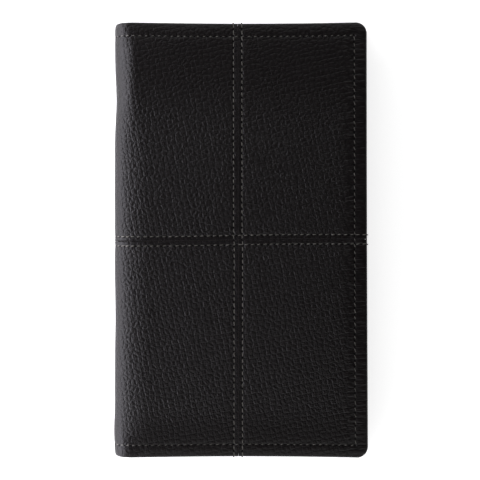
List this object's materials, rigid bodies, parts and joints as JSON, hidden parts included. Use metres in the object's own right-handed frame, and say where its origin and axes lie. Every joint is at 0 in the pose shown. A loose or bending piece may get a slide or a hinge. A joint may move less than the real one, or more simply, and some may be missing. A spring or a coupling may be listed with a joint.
{
  "type": "travel wallet",
  "caption": "Black leather bifold travel wallet with a round spine, cross-seamed panels, contrast stitching and inner pockets for passport, tickets and cards; opens flat.",
  "frame": {"origin": "middle of the closed wallet's footprint, on the surface it lies on", "axes": "+X from the spine to the fore edge, +Y up the wallet, +Z from the back cover to the front cover"},
  "size_m": [0.126, 0.217, 0.017],
  "materials": {
    "outer_leather": "pebbled, satin",
    "pocket_leather": "fine grain, satin",
    "lining": "twill weave, matte",
    "board": "grey board, matte",
    "foam": "foam, matte",
    "thread": "twisted thread, satin"
  },
  "bodies": {
    "back_cover": {"back_upper_fore_panel": "outer_leather", "back_lower_fore_panel": "outer_leather", "back_upper_spine_panel": "outer_leather", "back_lower_spine_panel": "outer_leather", "back_board": "board", "back_lining": "lining", "ticket_pocket": "pocket_leather", "passport_pocket": "pocket_leather"},
    "spine": {"spine_upper_leather": "outer_leather", "spine_lower_leather": "outer_leather", "spine_foam": "foam", "spine_lining": "lining"},
    "front_cover": {"front_upper_fore_panel": "outer_leather", "front_lower_fore_panel": "outer_leather", "front_upper_spine_panel": "outer_leather", "front_lower_spine_panel": "outer_leather", "front_board": "board", "front_lining": "lining", "document_pocket": "pocket_leather", "card_pocket_1": "pocket_leather", "card_pocket_2": "pocket_leather", "card_pocket_3": "pocket_leather", "card_pocket_4": "pocket_leather"}
  },
  "joints": [
    {"name": "back_crease", "type": "hinge", "parent": "back_cover", "child": "spine", "pos_m": [-0.06118, 0, 0.00182], "axis": [0, -1, 0], "range_deg": [0, 90]},
    {"name": "front_crease", "type": "hinge", "parent": "spine", "child": "front_cover", "pos_m": [-0.06118, 0, 0.01518], "axis": [0, -1, 0], "range_deg": [0, 90]}
  ],
  "couplings": [
    {"joint": "front_crease", "follows": "back_crease", "ratio": 1}
  ]
}
